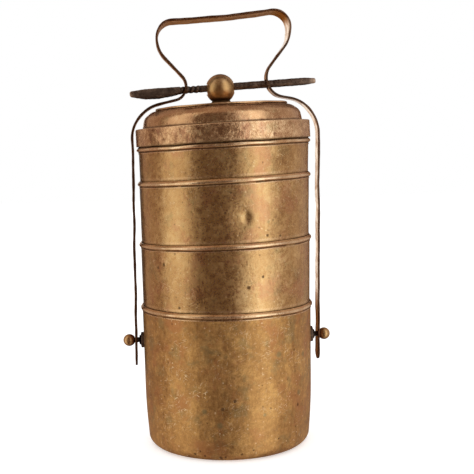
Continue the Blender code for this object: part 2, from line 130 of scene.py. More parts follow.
def rounded(corners, arc_step=math.radians(9)):
    """A path through (x, z, radius) corners, each rounded to its radius."""
    places = [np.array(corner[:2], float) for corner in corners]
    points = [places[0]]
    for index in range(1, len(corners) - 1):
        before, corner, after = places[index - 1:index + 2]
        radius = corners[index][2]
        if radius == 0:
            points.append(corner)
            continue
        incoming = (corner - before) / np.linalg.norm(corner - before)
        outgoing = (after - corner) / np.linalg.norm(after - corner)
        cross = incoming[0] * outgoing[1] - incoming[1] * outgoing[0]
        turn = math.atan2(cross, float(incoming @ outgoing))
        start = corner - incoming * radius * math.tan(abs(turn) / 2)
        to_centre = np.array((-incoming[1], incoming[0])) * math.copysign(radius, turn)
        steps = max(2, math.ceil(abs(turn) / arc_step), math.ceil(abs(turn) * radius / ARC_STEP))
        for step in range(steps + 1):
            angle = turn * step / steps
            cosine, sine = math.cos(angle), math.sin(angle)
            spoke = np.array((-cosine * to_centre[0] + sine * to_centre[1],
                              -sine * to_centre[0] - cosine * to_centre[1]))
            points.append(start + to_centre + spoke)
    points.append(places[-1])
    return points


def dense(points, longest):
    """The same path with no stretch longer than a given length."""
    result = [points[0]]
    for before, after in zip(points, points[1:]):
        pieces = max(1, math.ceil(float(np.linalg.norm(after - before)) / longest))
        result += [before + (after - before) * step / pieces for step in range(1, pieces + 1)]
    return result


def ball_arc(radius, centre_z, last_angle, steps):
    """The (radius, z) outline of a ball from its top down to an angle from its axis."""
    angles = [last_angle * step / steps for step in range(steps + 1)]
    return [(radius * math.sin(angle), centre_z + radius * math.cos(angle)) for angle in angles]


# Shape of wear

def lean(co):
    """Tilt the rims of the stack, and lean the lid and the handle's top to the left."""
    x, z = co[:, 0].copy(), co[:, 2].copy()
    above = np.maximum(z - LEAN_START_Z, 0.0)
    co[:, 0] = x - LEAN * (np.hypot(above, LEAN_EASE) - LEAN_EASE)
    co[:, 2] = z + x * TILT * smooth(TILT_START_Z, TILT_FULL_Z, z)
    return co


LEAN_AT_KNOB = LEAN * (math.hypot(KNOB_Z - LEAN_START_Z, LEAN_EASE) - LEAN_EASE)


def waves(theta, z, seed, count, lobes, wavelength):
    """A smooth random field round the object, between about -1 and 1."""
    rng = np.random.RandomState(seed)
    total = np.zeros_like(theta)
    for _ in range(count):
        lobe = rng.randint(lobes[0], lobes[1] + 1)
        rise = rng.uniform(-1.0, 1.0) * TAU / wavelength
        total += np.cos(lobe * theta + rise * z + rng.uniform(0, TAU))
    return total / math.sqrt(count)


def polar(co):
    return np.hypot(co[:, 0], co[:, 1]), np.arctan2(co[:, 1], co[:, 0])


def swell(co, theta, growth):
    """Move points straight out from the vertical axis."""
    co[:, 0] += growth * np.cos(theta)
    co[:, 1] += growth * np.sin(theta)
    return co


def out_of_round(co):
    """The slow unevenness that all the stacked pieces share, so that they still fit."""
    radius, theta = polar(co)
    offset = 0.16 * np.cos(2 * theta + 0.7) + 0.13 * waves(theta, co[:, 2], 11, 6, (2, 5), 260.0)
    return swell(co, theta, offset * smooth(20.0, 52.0, radius))


def beaten(co, seed, amount=1.0):
    """Shallow hammer marks and ripples on one piece's wall."""
    radius, theta = polar(co)
    offset = 0.045 * waves(theta, co[:, 2], seed, 12, (5, 14), 60.0)
    offset += 0.020 * waves(theta, co[:, 2], seed + 1, 16, (14, 40), 18.0)
    return swell(co, theta, amount * offset * smooth(40.0, 58.0, radius))


def dented(co, dents):
    """Press dents (azimuth in degrees from the front, z, radius across, radius up, depth)."""
    for azimuth, centre_z, across, up, depth in dents:
        angle = math.radians(azimuth)
        outward = np.array((math.sin(angle), -math.cos(angle), 0.0))
        sideways = np.array((math.cos(angle), math.sin(angle), 0.0))
        along = co @ sideways / across
        rise = (co[:, 2] - centre_z) / up
        pressed = np.exp(-(along ** 2 + rise ** 2) ** 1.5) * (co @ outward > 30.0)
        co -= depth * pressed[:, None] * outward
    return co


def close_to(value, middle, width):
    """1 at the middle, fading away within about two widths."""
    return np.exp(-((value - middle) / width) ** 2)


# Meshes


def new_object(name, data):
    obj = bpy.data.objects.new(name, data)
    bpy.context.scene.collection.objects.link(obj)
    return obj


def finish_mesh(node, co, faces, body, material, sharp=40.0):
    """Make the piece that stands for a CAD node and hang it on the node's body."""
    name = node + "_visual"
    mesh = bpy.data.meshes.new(name)
    mesh.from_pydata((co * MM).tolist(), [], faces)
    solid = bmesh.new()
    solid.from_mesh(mesh)
    bmesh.ops.recalc_face_normals(solid, faces=solid.faces)
    solid.to_mesh(mesh)
    solid.free()
    mesh.shade_smooth()
    mesh.set_sharp_from_angle(angle=math.radians(sharp))
    mesh.materials.append(material)
    obj = new_object(name, mesh)
    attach(obj, body)
    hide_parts(node)
    return obj


def turned_mesh(profile, segments=SEGMENTS):
    """Vertices and faces of a (radius, z) profile turned about Z.

    Points on the axis are single. A profile that starts off the axis is joined up to a loop.
    """
    co = []
    rings = []
    for radius, z in profile:
        if radius < ON_AXIS:
            rings.append([len(co)])
            co.append((0.0, 0.0, z))
            continue
        rings.append(list(range(len(co), len(co) + segments)))
        for index in range(segments):
            angle = TAU * index / segments
            co.append((radius * math.cos(angle), radius * math.sin(angle), z))
    faces = []
    pairs = list(zip(rings, rings[1:]))
    if profile[0][0] > ON_AXIS:
        pairs.append((rings[-1], rings[0]))
    for ring, following in pairs:
        for index in range(segments):
            after = (index + 1) % segments
            if len(ring) == 1:
                faces.append((ring[0], following[index], following[after]))
            elif len(following) == 1:
                faces.append((ring[index], following[0], ring[after]))
            else:
                faces.append((ring[index], following[index], following[after], ring[after]))
    return np.array(co), faces


def face_outwards(co, side):
    """Turn a piece made about +Z so that +Z points to the left (-1) or the right (1)."""
    return np.stack((side * co[:, 2], co[:, 1], PIVOT_Z - side * co[:, 0]), axis=1)


def tube_faces(stations, ring):
    """Faces of a tube of rings of vertices, closed at both ends."""
    faces = []
    for base in range(0, (stations - 1) * ring, ring):
        for index in range(ring):
            after = (index + 1) % ring
            faces.append((base + index, base + after, base + ring + after, base + ring + index))
    faces.append(tuple(range(ring))[::-1])
    faces.append(tuple(range((stations - 1) * ring, stations * ring)))
    return faces


def paint(obj, **fields):
    """Store named numbers on the vertices for the materials to read."""
    for name, values in fields.items():
        layer = obj.data.attributes.new(name, "FLOAT", "POINT")
        shown = np.clip(np.broadcast_to(values, len(layer.data)), 0.0, 1.0)
        layer.data.foreach_set("value", shown.astype(np.float32))


# Node materials

class Graph:
    """Short calls for building a node tree."""

    def __init__(self, tree):
        self.tree = tree
        tree.nodes.clear()

    def node(self, kind, inputs=None, **settings):
        made = self.tree.nodes.new(kind)
        for key, value in settings.items():
            setattr(made, key, value)
        for key, value in (inputs or {}).items():
            if isinstance(value, bpy.types.NodeSocket):
                self.tree.links.new(value, made.inputs[key])
            else:
                made.inputs[key].default_value = value
        return made

    def math(self, operation, first, second=0.0, clamp=False):
        inputs = {0: first, 1: second}
        return self.node("ShaderNodeMath", inputs, operation=operation, use_clamp=clamp).outputs[0]

    def plus(self, first, second):
        return self.math("ADD", first, second)

    def times(self, first, second, clamp=False):
        return self.math("MULTIPLY", first, second, clamp)

    def most(self, first, second, clamp=False):
        return self.math("MAXIMUM", first, second, clamp)

    def swing(self, field, share):
        """A field from 0 to 1 as a swing about zero."""
        return self.times(self.math("SUBTRACT", field, 0.5), share)

    def weighted(self, total, parts):
        """A total plus each field times its share."""
        for share, field in parts:
            total = self.plus(total, self.times(field, share))
        return total

    def vector(self, operation, first, second):
        node = self.node("ShaderNodeVectorMath", {0: first, 1: second}, operation=operation)
        return node.outputs["Value"] if operation == "DISTANCE" else node.outputs["Vector"]

    def scaled(self, place, scale):
        return self.vector("MULTIPLY", place, scale)

    def noise(self, place, scale, detail=4.0, roughness=0.55, distortion=0.0):
        inputs = {"Vector": place, "Scale": scale, "Detail": detail, "Roughness": roughness,
                  "Distortion": distortion}
        return self.node("ShaderNodeTexNoise", inputs).outputs["Fac"]

    def spots(self, place, scale, size, chance):
        """Scattered round spots: the edge and core of a spot's size, and the chance of one."""
        node = self.node("ShaderNodeTexVoronoi", {"Vector": place, "Scale": scale})
        luck = self.node("ShaderNodeSeparateColor", {0: node.outputs["Color"]}).outputs[0]
        return self.times(self.remap(node.outputs["Distance"], *size), self.remap(luck, *chance))

    def remap(self, value, low, high, to_low=0.0, to_high=1.0):
        inputs = dict(enumerate((value, low, high, to_low, to_high)))
        node = self.node("ShaderNodeMapRange", inputs, interpolation_type="SMOOTHSTEP")
        return node.outputs[0]

    def mix(self, share, first, second, blend_type="MIX"):
        node = self.node("ShaderNodeMix", {0: share, 6: first, 7: second},
                         data_type="RGBA", blend_type=blend_type)
        return node.outputs[2]

    def ramp(self, value, stops):
        node = self.node("ShaderNodeValToRGB", {0: value})
        elements = node.color_ramp.elements
        while len(elements) < len(stops):
            elements.new(0.5)
        for element, stop in zip(elements, stops):
            element.position, element.color = stop
        return node.outputs[0]

    def attribute(self, name):
        return self.node("ShaderNodeAttribute", attribute_name=name).outputs["Fac"]

    def metal_surface(self, colour, metal, gloss, bumps, edge_tint=WHITE):
        """Close the tree: bumps holds the strength, distance and height field of the relief."""
        rise = self.node("ShaderNodeBump", dict(zip(("Strength", "Distance", "Height"), bumps)))
        shader = self.node("ShaderNodeBsdfPrincipled", {
            "Base Color": colour, "Metallic": metal, "Roughness": gloss,
            "Specular Tint": edge_tint, "Normal": rise.outputs[0]})
        self.node("ShaderNodeOutputMaterial", {"Surface": shader.outputs[0]})


def seeded_material(name, seed=0.0, drift=(0.0, 0.0, 0.0)):
    """A material's graph, its object coordinates, and those moved along a drift by the seed."""
    material = bpy.data.materials.new(name)
    material.use_nodes = True
    graph = Graph(material.node_tree)
    place = graph.node("ShaderNodeTexCoord").outputs["Object"]
    moved = graph.vector("ADD", place, [seed * share for share in drift])
    return material, graph, place, moved


def rgb(red, green, blue):
    """A linear colour from screen values 0-255."""
    def linear(value):
        share = value / 255
        return share / 12.92 if share <= 0.04045 else ((share + 0.055) / 1.055) ** 2.4
    return (linear(red), linear(green), linear(blue), 1.0)


def surface_point(azimuth, z):
    """A point on the leaning wall, azimuth in degrees from the front towards the right."""
    tuck = CAN_TUCK * max(CAN_TUCK_Z - z, 0.0) / CAN_TUCK_Z
    under = max(CAN_CORNER - z, 0.0)
    corner = CAN_CORNER - math.sqrt(CAN_CORNER ** 2 - under ** 2)
    radius = RIM_RADIUS - 0.3 - tuck - corner
    angle = math.radians(azimuth)
    co = np.array([[radius * math.sin(angle), -radius * math.cos(angle), z]])
    return Vector(lean(out_of_round(co))[0] * MM)


def marks_mask(graph, place, marks):
    """1 inside any of a list of soft round marks (azimuth, z, radius in mm)."""
    edge = graph.times(graph.noise(place, 900.0, 2.0), 1.6 * MM)
    total = 0.0
    for azimuth, z, radius in marks:
        away = graph.vector("DISTANCE", place, surface_point(azimuth, z))
        away = graph.math("SUBTRACT", graph.plus(away, edge), 0.8 * MM)
        total = graph.most(total, graph.remap(away, radius * MM, radius * MM * 0.3))
    return total


def scratches(graph, moved, place, patches):
    """Thin streaks in three directions, gathered in cloudy places and in the given patches."""
    total = 0.0
    for turn, length, low in ((0.45, 170.0, 0.665), (1.30, 230.0, 0.665), (2.60, 190.0, 0.685)):
        turned = graph.node("ShaderNodeMapping", {"Vector": moved, "Rotation": (0.0, turn, 0.0)})
        streaks = graph.scaled(turned.outputs[0], (length, length, 2000.0))
        streak = graph.remap(graph.noise(streaks, 1.0, 1.0, 0.5, 0.35), low, low + 0.07)
        total = graph.most(total, streak)
    gathered = graph.remap(graph.noise(moved, 48.0, 2.0), 0.46, 0.62, 0.16, 0.8)
    if patches:
        gathered = graph.most(gathered, graph.times(marks_mask(graph, place, patches), 2.6))
    return graph.times(total, gathered)


def aged_brass(name, seed, tones, rough=0.34, metal=0.97, mottle=1.0, speckle=1.0, scratch=1.0,
               bump=1.0, edge_tint=WHITE, marks=None):
    """Old brass: golden to brown patina with red and grey-green tints, scratches and pits.

    marks maps a tone to the marks of that tone; edge_tint colours what is seen edge-on.
    """
    material, graph, place, moved = seeded_material(name, seed, (0.37, 0.61, 0.23))
    elsewhere = graph.vector("ADD", moved, (3.1, 1.7, 5.3))
    further = graph.vector("ADD", moved, (7.9, 4.3, 2.2))
    wear, grime, calm = (graph.attribute(field) for field in ("wear", "grime", "calm"))
    marks = dict(marks or {})
    patches = marks.pop("scratched", ())

    def tinted(colour, mask, share, tone):
        return graph.mix(graph.times(mask, share, clamp=True), colour, tones[tone])

    # patina
    cloud = graph.noise(moved, 26.0, 3.0)
    patch = graph.noise(moved, 120.0, 4.0, 0.6, 0.3)
    middle = graph.noise(moved, 380.0, 4.0, 0.65)
    fine = graph.noise(moved, 1000.0, 4.0, 0.75)
    drips = graph.noise(graph.scaled(moved, (420.0, 420.0, 60.0)), 1.0, 3.0, 0.6)
    unrest = graph.times(graph.math("SUBTRACT", 1.0, calm), mottle)
    unrest = graph.most(unrest, 0.35 * mottle)
    level = 0.5
    for share, field in ((0.45, cloud), (0.55, patch), (0.60, middle), (0.55, fine), (0.25, drips)):
        level = graph.plus(level, graph.times(graph.swing(field, share), unrest))
    colour = graph.ramp(level, ((0.22, tones["brown"]), (0.50, tones["ochre"]),
                                (0.76, tones["gold"])))
    reddish = graph.remap(graph.noise(elsewhere, 55.0, 5.0, 0.62), 0.50, 0.66)
    colour = tinted(colour, reddish, 0.50, "red")
    greenish = graph.remap(graph.noise(further, 75.0, 5.0, 0.65), 0.52, 0.68)
    colour = tinted(colour, greenish, 0.40, "green")

    # light flecks and scratches, then dark pits and blots
    fleck = graph.times(graph.spots(moved, 340.0, (0.26, 0.10), (0.74, 0.82)), speckle)
    scratched = graph.times(scratches(graph, moved, place, patches), scratch)
    colour = tinted(colour, graph.most(fleck, scratched), 0.55, "fleck")
    pit = graph.spots(elsewhere, 300.0, (0.28, 0.10), (0.90, 0.95))
    blot = graph.spots(further, 120.0, (0.17, 0.05), (0.84, 0.89))
    dark = graph.times(graph.most(pit, blot), 0.7 * speckle)
    for tone, places in marks.items():
        mask = marks_mask(graph, place, places)
        if tone == "pit":
            dark = graph.most(dark, mask)
        else:
            colour = tinted(colour, mask, 0.65, tone)
    colour = tinted(colour, dark, 0.75, "pit")

    # painted fields: lighter with rubbing and painted highlights, a painted bright reflection, and
    # darker with dirt and painted shade
    uneven = graph.remap(patch, 0.30, 0.62, 0.45, 1.0)
    worn_and_lit = graph.times(wear, uneven)
    colour = tinted(colour, worn_and_lit, 0.85, "worn_and_lit")
    pale = graph.times(graph.attribute("pale"), uneven)
    colour = tinted(colour, pale, 1.0, "worn_and_lit")
    colour = tinted(colour, grime, 0.85, "grime")

    gloss = rough
    for share, field in ((0.35, middle), (0.30, fine), (0.20, patch)):
        gloss = graph.plus(gloss, graph.swing(field, share))
    gloss = graph.weighted(gloss, ((0.20, dark), (0.20, grime), (-0.08, worn_and_lit), (-0.24, pale)))
    gloss = graph.most(gloss, 0.10, clamp=True)
    height = graph.weighted(0.0, ((1.5, patch), (1.5, middle), (0.5, fine), (-0.8, dark),
                                  (-0.25, scratched)))
    relief = graph.remap(calm, 0.0, 1.0, 0.35 * bump, 0.12 * bump)
    graph.metal_surface(colour, metal, gloss, (relief, 0.25 * MM, height),
                        graph.mix(pale, edge_tint, WHITE))
    return material


def old_iron(name, seed, rough=0.46):
    """Dark forged iron, brown in the hollows, grey-tan on high places with rubbing and painted
    highlights, darker with dirt and painted shade.
    """
    material, graph, _, moved = seeded_material(name, seed, (0.29, 0.53, 0.41))
    drawn = graph.noise(graph.scaled(moved, (90.0, 500.0, 500.0)), 1.0, 4.0, 0.6)
    patch = graph.noise(moved, 190.0, 5.0, 0.65)
    fine = graph.noise(moved, 1100.0, 4.0, 0.7)
    level = graph.weighted(0.0, ((0.45, drawn), (0.55, patch)))
    level = graph.plus(level, graph.swing(fine, 0.35))
    colour = graph.ramp(level, ((0.30, rgb(64, 53, 45)), (0.52, rgb(110, 93, 81)),
                                (0.74, rgb(164, 140, 120))))
    rubbed_and_lit = graph.times(graph.attribute("wear"), graph.remap(patch, 0.25, 0.60, 0.35, 1.0))
    colour = graph.mix(rubbed_and_lit, colour, rgb(196, 170, 148))
    colour = graph.mix(graph.times(graph.attribute("grime"), 0.85), colour, rgb(26, 19, 15))
    gloss = graph.remap(graph.weighted(rough - 0.2, ((0.4, patch),)), 0.0, 1.0)
    height = graph.weighted(0.0, ((0.5, fine), (0.8, drawn), (1.4, patch)))
    graph.metal_surface(colour, 0.9, gloss, (0.5, 0.3 * MM, height))
    return material


WALL_TONES = dict(
    brown=rgb(148, 108, 70), ochre=rgb(198, 158, 106), gold=rgb(236, 202, 146),
    red=rgb(190, 134, 100), green=rgb(166, 148, 104), fleck=rgb(254, 230, 186),
    pit=rgb(66, 42, 26), worn_and_lit=rgb(244, 210, 168), grime=rgb(54, 34, 20))
CAN_TONES = dict(WALL_TONES, brown=rgb(140, 98, 54), ochre=rgb(186, 140, 84),
                 gold=rgb(224, 178, 110), green=rgb(136, 126, 88), red=rgb(180, 118, 76))
BAND_TONES = dict(WALL_TONES, brown=rgb(164, 122, 82), ochre=rgb(208, 164, 116),
                  gold=rgb(240, 200, 152), worn_and_lit=rgb(254, 230, 194))
LID_TONES = dict(WALL_TONES, brown=rgb(142, 102, 74), ochre=rgb(206, 164, 122),
                 gold=rgb(248, 214, 170), red=rgb(184, 132, 104))
STRAP_TONES = dict(WALL_TONES, brown=rgb(76, 46, 26), ochre=rgb(112, 72, 42),
                   gold=rgb(156, 108, 66), red=rgb(110, 62, 38), green=rgb(92, 72, 52),
                   worn_and_lit=rgb(236, 214, 192), grime=rgb(34, 21, 14))
KNOB_TONES = dict(WALL_TONES, brown=rgb(148, 112, 72), ochre=rgb(190, 152, 102),
                  gold=rgb(226, 192, 138))


# Vessels

def make_vessel(node, body, profile, seed, dents, material, low_z, high_z):
    """A turned, beaten and dented vessel whose outside shows from low_z to high_z."""
    co, faces = turned_mesh(profile)
    z = co[:, 2].copy()
    inside = np.arange(len(z)) < np.argmax(z)
    co = dented(beaten(out_of_round(co), seed), dents)
    obj = finish_mesh(node, lean(co), faces, body, material)
    # painted shade along the bottom edge, under the band and inside, and beside the handle's arms
    # as their dark reflection and shadow; a light line along the bottom edge
    low_edge = smooth(1.2, 0.0, z - low_z)
    high_edge = smooth(2.0, 0.2, high_z - z)
    behind_arm = smooth(21.0, 12.0, np.abs(co[:, 1])) * smooth(54.0, 62.0, z)
    paint(obj, wear=0.45 * close_to(z, low_z + 1.5, 0.6),
          grime=0.25 * low_edge + 0.45 * high_edge + 0.35 * inside + 0.5 * behind_arm)


def make_can_look(material):
    rim = CAN_HIGH.z
    bottom_radius = LOW_RADIUS - CAN_TUCK
    outline = rounded((
        (0.0, SHEET + 0.5, 0.0),
        (bottom_radius - 14.0, SHEET + 0.5, 4.0),
        (bottom_radius - 10.0, SHEET, 4.0),
        (bottom_radius - SHEET, SHEET, CAN_CORNER - SHEET),
        (LOW_RADIUS - SHEET, CAN_TUCK_Z, 400.0),
        (RIM_RADIUS - SHEET, rim, 0.5),
        (RIM_RADIUS, rim, 0.5),
        (LOW_RADIUS, CAN_TUCK_Z, 400.0),
        (bottom_radius, 0.0, CAN_CORNER),
        (bottom_radius - 12.0, 0.0, 6.0),
        (bottom_radius - 18.0, 0.5, 6.0),
        (0.0, 0.5, 0.0),
    ))
    dents = ((-32, 38, 7, 6, 0.22), (22, 60, 9, 7, 0.16),
             (40, 22, 8, 6, 0.20), (-8, 84, 10, 8, 0.15),
             (120, 50, 9, 8, 0.5), (200, 30, 7, 6, 0.4))
    below_table = -9.0  # so that no painted edge shows on the can
    make_vessel("bottom_can", "can", dense(outline, 1.3), 21, dents, material,
                below_table, BAND_LOW.z)


def tier_outline(node, band_node):
    """A tier's profile, and the heights between which its outside shows."""
    low, high = corners_mm(node)
    shoulder = low.z + FOOT_DEPTH
    foot_radius = RIM_RADIUS - SHEET - 0.6
    step = shoulder + SHEET / 3
    outline = rounded((
        (0.0, low.z + SHEET, 0.0),
        (foot_radius - SHEET, low.z + SHEET, 0.6),
        (foot_radius - SHEET, step, 0.3),
        (LOW_RADIUS - SHEET, step + SHEET, 0.3),
        (RIM_RADIUS - SHEET, high.z, 0.5),
        (RIM_RADIUS, high.z, 0.5),
        (LOW_RADIUS, shoulder, 0.25),
        (foot_radius, shoulder, 0.0),
        (foot_radius, low.z, 1.8),
        (0.0, low.z, 0.0),
    ))
    return dense(outline, 1.3), shoulder, corners_mm(band_node)[0].z


def make_band_look(node, body, seed, material, under_collar=0.0):
    """A half-round band with a groove and a thin lip under it, sunk a little into the wall."""
    high = corners_mm(node)[1]
    proud = high.x - RIM_RADIUS
    inner = RIM_RADIUS - 0.5
    foot = high.z - BAND_TALL
    groove_low = foot - GROOVE_TALL
    profile = [(inner, high.z - 0.05)]
    steps = 18
    for step in range(steps + 1):
        drop = (1 - math.cos(math.pi * step / steps)) / 2
        radius = RIM_RADIUS + proud * max(math.sin(math.pi * drop ** 1.3), 0.0) ** 0.8
        profile.append((radius, high.z - BAND_TALL * drop))
    profile.append((RIM_RADIUS, foot - 0.25))
    for out, drop in ((0.0, 0.0), (0.28, 0.15), (0.34, 0.45), (0.20, 0.75)):
        profile.append((RIM_RADIUS + out, groove_low - drop))
    profile.append((inner, groove_low - 0.80))
    co, faces = turned_mesh(profile)
    radius, theta = polar(co)
    z = co[:, 2].copy()
    crown = smooth(RIM_RADIUS + 0.5 * proud, high.x, radius)
    ripple = waves(theta, z, seed, 10, (3, 30), 500.0)
    co[:, 2] += 0.10 * waves(theta, 0 * z, seed + 5, 8, (2, 12), 500.0)
    co = out_of_round(co)
    co[:, :2] *= (1 + 0.10 * ripple * crown / RIM_RADIUS)[:, None]
    obj = finish_mesh(node, lean(co), faces, body, material, 60.0)
    # a lighter crown, rubbed and with a painted highlight, on its upper part, and a painted
    # highlight on the lip; painted shade in the groove and, on the stop band, under the collar
    upper = smooth(foot + 0.15 * BAND_TALL, foot + 0.35 * BAND_TALL, z)
    groove = smooth(foot + 0.45, foot + 0.1, z) * smooth(groove_low - 0.2, foot - 0.3, z)
    shade = under_collar * smooth(high.z - 1.5, high.z - 0.7, z)
    paint(obj, wear=crown * upper * (0.75 + 0.25 * ripple) + 0.4 * (z < groove_low),
          grime=1.2 * groove + 0.95 * shade)


# Lid

TANG_HOLE = 2.8  # radius of the hole for the knob's tang


def make_lid_look(material):
    outer = LID_HIGH.x
    collar = LID_LOW.z
    ledge = collar + 13.1
    dome = outer - 5.7
    top = LID_HIGH.z
    shoulder = top - 5.2
    opening = 44.0
    outline = rounded((
        (opening, top, 0.0),
        (dome - 8.0, top - 0.15, 9.0),
        (dome - 1.4, shoulder, 7.0),
        (dome, ledge + 0.6, 0.0),
        (dome + 0.5, ledge, 0.5),
        (outer - 0.1, ledge - 0.1, 0.9),
        (outer, collar, 0.35),
        (outer - SHEET, collar, 0.35),
        (outer - SHEET, ledge - SHEET, 0.5),
        (dome - SHEET, ledge - SHEET, 0.5),
        (dome - SHEET - 1.4, shoulder - SHEET, 6.0),
        (dome - SHEET - 8.0, top - SHEET - 0.15, 8.0),
        (opening, top - SHEET, 0.0),
    ))
    co, faces = turned_mesh(dense(outline, 1.0))
    radius, theta = polar(co)
    z = co[:, 2].copy()
    co = beaten(out_of_round(co), 51, 1.3)
    dome_area = smooth(ledge + 0.5, ledge + 3.0, z)
    co[:, 2] += dome_area * 0.12 * waves(theta, radius, 57, 12, (3, 16), 30.0)
    dents = ((-45, collar + 3.4, 2.6, 2.2, 0.35), (-29, collar + 7.5, 4.5, 5.5, 0.30),
             (20, collar + 6, 2, 3, 0.25), (63, collar + 6, 6, 6, 0.3),
             (150, collar + 6, 6, 6, 0.4))
    obj = finish_mesh("lid_shell", lean(dented(co, dents)), faces, "lid", material)
    # a painted highlight along the ledge's rim and a light line at the collar's lower edge; painted
    # shade in the crease at the dome's foot, inside under the ledge and along the collar's lower
    # edge
    at_ledge = close_to(z, ledge, 0.9)
    edge = close_to(radius, outer - 0.5, 1.1) * at_ledge
    crease = close_to(radius, dome, 0.9) * at_ledge
    under = (radius < outer - 0.7) & (z < ledge - 0.7)
    paint(obj, calm=dome_area, wear=1.1 * edge + 0.25 * close_to(z, collar, 0.9),
          grime=1.1 * crease + 0.5 * under + 0.5 * smooth(1.0, 0.0, z - collar))


def make_plate_look(material):
    outline = rounded((
        (TANG_HOLE, PLATE_HIGH.z, 0.0),
        (PLATE_HIGH.x - 4.0, PLATE_HIGH.z, 6.0),
        (PLATE_HIGH.x, PLATE_HIGH.z - 0.15, 0.6),
        (PLATE_HIGH.x, PLATE_LOW.z, 0.3),
        (TANG_HOLE, PLATE_LOW.z, 0.0),
    ))
    co, faces = turned_mesh(dense(outline, 1.0))
    radius, theta = polar(co)
    z = co[:, 2].copy()
    co = out_of_round(co)
    co[:, 2] += smooth(12.0, 40.0, radius) * 0.08 * waves(theta, radius, 61, 12, (3, 14), 25.0)
    obj = finish_mesh("lid_top_plate", lean(co), faces, "lid", material)
    # a painted highlight along the top edge; painted shade on the hidden lower edge and in a ring
    # round the knob's foot
    hidden_z = PLATE_LOW.z + 0.5
    edge = close_to(radius, PLATE_HIGH.x - 0.4, 0.9) * (z > hidden_z)
    round_knob = close_to(radius, 9.0, 1.6)
    paint(obj, wear=0.6 * edge,
          grime=0.25 * smooth(hidden_z, PLATE_LOW.z, z) + 0.8 * round_knob)


def make_knob_look(material):
    neck_share = 0.60  # radius of the neck under the ball, as a share of the ball's
    ball = ball_arc(KNOB_RADIUS, KNOB_Z, math.pi - math.asin(neck_share), 44)
    base_z = PLATE_HIGH.z + 0.12
    neck = rounded((
        (*ball[-1], 0.0),
        (6.7, base_z + 3.4, 1.5),
        (7.6, base_z + 1.4, 1.8),
        (9.4, base_z + 0.7, 0.5),
        (9.4, base_z, 0.2),
        (2.5, base_z, 0.0),
        (2.5, KNOB_LOW.z + 1.4, 0.0),
        (4.0, KNOB_LOW.z + 1.2, 0.4),
        (3.6, KNOB_LOW.z, 0.4),
        (0.0, KNOB_LOW.z, 0.0),
    ))
    co, faces = turned_mesh(ball + dense(neck[1:], 1.2), SMALL_SEGMENTS)
    radius, theta = polar(co)
    bumps = waves(theta, co[:, 2], 71, 10, (2, 8), 9.0) * smooth(1.0, 5.0, radius)
    co = swell(co, theta, 0.05 * bumps)
    obj = finish_mesh("knob", co, faces, "lid", material, 50.0)
    # the bar's hole, open to the back
    reach = 3 * KNOB_RADIUS
    cut_box(obj, (-reach, -3.6, BAR_Z - 4.6), (reach, reach, BAR_Z + 3.4), 0.7, BAR_SLOPE - TILT)
    z = lean_object(obj)[:, 2]
    # lighter towards the top of the ball; painted shade on the neck's foot under the ball and on
    # the ball's underside
    paint(obj, wear=0.35 * smooth(KNOB_Z + 2.0, KNOB_Z + 9.0, z),
          grime=0.95 * smooth(base_z + 6.2, base_z + 3.6, z)
          + 0.35 * smooth(KNOB_Z - 2.0, KNOB_Z - 9.0, z))


def cut_box(obj, low, high, rounding, slope=0.0):
    """Cut a box with rounded edges, its right end raised by a slope, out of a piece."""
    solid = bmesh.new()
    bmesh.ops.create_cube(solid, size=1.0)
    size = (Vector(high) - Vector(low)) * MM
    middle = (Vector(high) + Vector(low)) / 2 * MM
    bmesh.ops.scale(solid, vec=size, verts=solid.verts)
    bmesh.ops.bevel(solid, geom=solid.edges[:], offset=rounding * MM, segments=4,
                    affect="EDGES", profile=0.5)
    bmesh.ops.rotate(solid, matrix=Matrix.Rotation(-math.atan(slope), 3, "Y"), verts=solid.verts)
    bmesh.ops.translate(solid, vec=middle, verts=solid.verts)
    cut_with(obj, solid)


def cut_rod(obj, radius, z, half_length):
    """Drill a round hole from side to side."""
    solid = bmesh.new()
    bmesh.ops.create_cone(solid, cap_ends=True, segments=40, radius1=radius * MM,
                          radius2=radius * MM, depth=2 * half_length * MM)
    turn = Matrix.Rotation(math.radians(90), 4, "Y")
    bmesh.ops.transform(solid, matrix=Matrix.Translation((0.0, 0.0, z * MM)) @ turn,
                        verts=solid.verts)
    cut_with(obj, solid)


def cut_with(obj, solid):
    mesh = bpy.data.meshes.new("cutter")
    solid.to_mesh(mesh)
    solid.free()
    cutter = new_object("cutter", mesh)
    boolean = obj.modifiers.new("cut", "BOOLEAN")
    boolean.operation = "DIFFERENCE"
    boolean.solver = "EXACT"
    boolean.object = cutter
    evaluated = obj.evaluated_get(bpy.context.evaluated_depsgraph_get())
    result = bpy.data.meshes.new_from_object(evaluated)
    obj.modifiers.clear()
    obj.data = result
    bpy.data.objects.remove(cutter)


def lean_object(obj):
    """Lean a finished piece, and return its vertices."""
    co = lean(vertices_mm(obj))
    obj.data.vertices.foreach_set("co", (co * MM).astype(np.float32).ravel())
    obj.data.update()
    return co


def make_burr_look(material):
    outline = rounded((
        (TANG_HOLE, BURR_HIGH.z, 0.0),
        (BURR_HIGH.x, BURR_HIGH.z, 0.3),
        (BURR_HIGH.x, BURR_LOW.z, 0.3),
        (TANG_HOLE, BURR_LOW.z, 0.0),
    ))
    co, faces = turned_mesh(dense(outline, 1.0), SMALL_SEGMENTS)
    obj = finish_mesh("knob_burr", lean(co), faces, "lid", material)
    paint(obj, grime=0.3)


# Handle

